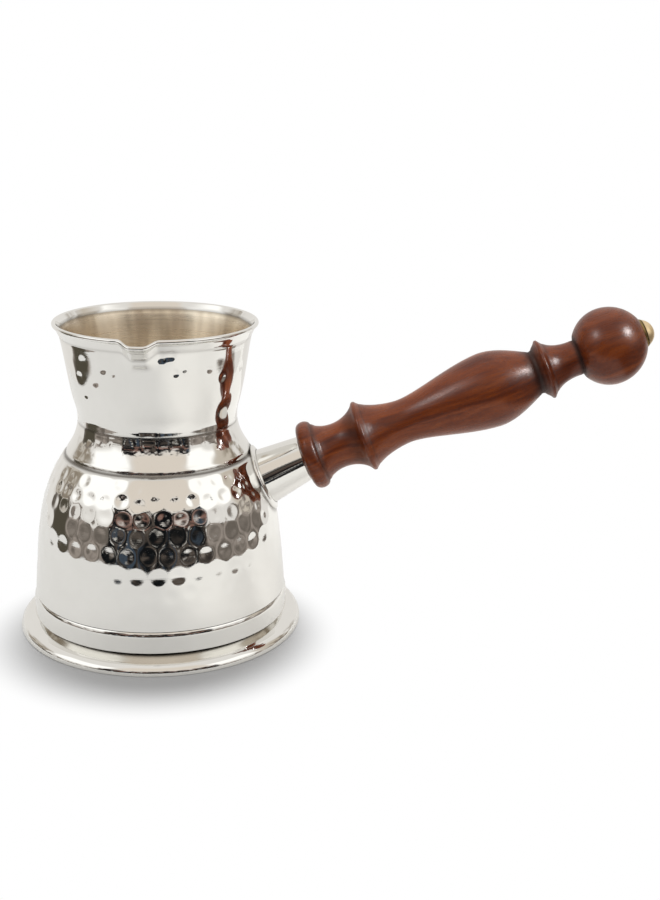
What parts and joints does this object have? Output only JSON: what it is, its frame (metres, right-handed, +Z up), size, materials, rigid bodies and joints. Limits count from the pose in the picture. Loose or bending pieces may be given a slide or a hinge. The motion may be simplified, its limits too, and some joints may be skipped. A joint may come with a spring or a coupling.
{
  "type": "turkish coffee pot cezve",
  "caption": "Bell-shaped hammered metal coffee pot with a flanged foot, a pouring lip, and a long turned wooden handle held on by a through rod and a domed brass nut.",
  "frame": {"origin": "centre of the flat ring that the pot stands on, on the pot's axis, at table height", "axes": "+Z up along the pot's axis, +X towards the handle, +Y completes a right-handed frame"},
  "size_m": [0.2082, 0.094, 0.1085],
  "materials": {
    "silver_plate": "silver-plated and polished outside, tinned and brushed inside",
    "steel": "plain turned steel",
    "rosewood": "turned, dark stained and lacquered",
    "brass": "polished"
  },
  "bodies": {
    "pot": {"pot_body": "silver_plate", "floor_plate": "silver_plate", "foot_ring": "silver_plate", "socket_collar": "silver_plate", "socket_tube": "silver_plate", "rod_anchor": "steel", "tie_rod": "steel", "handle_grip": "rosewood"},
    "washer": {"finial_washer": "brass"},
    "cap_nut": {"finial_nut": "brass"}
  },
  "joints": [
    {"name": "nut_travel", "type": "slide", "parent": "pot", "child": "washer", "axis": [0.9298, 0, 0.3681], "range_m": [0, 0.0064]},
    {"name": "nut_turn", "type": "hinge", "parent": "washer", "child": "cap_nut", "pos_m": [0.0485, 0, 0.0569], "axis": [0.9298, 0, 0.3681], "range_deg": [0, 2880]}
  ],
  "couplings": [
    {"joint": "nut_turn", "follows": "nut_travel", "rad_per_m": 7854}
  ]
}
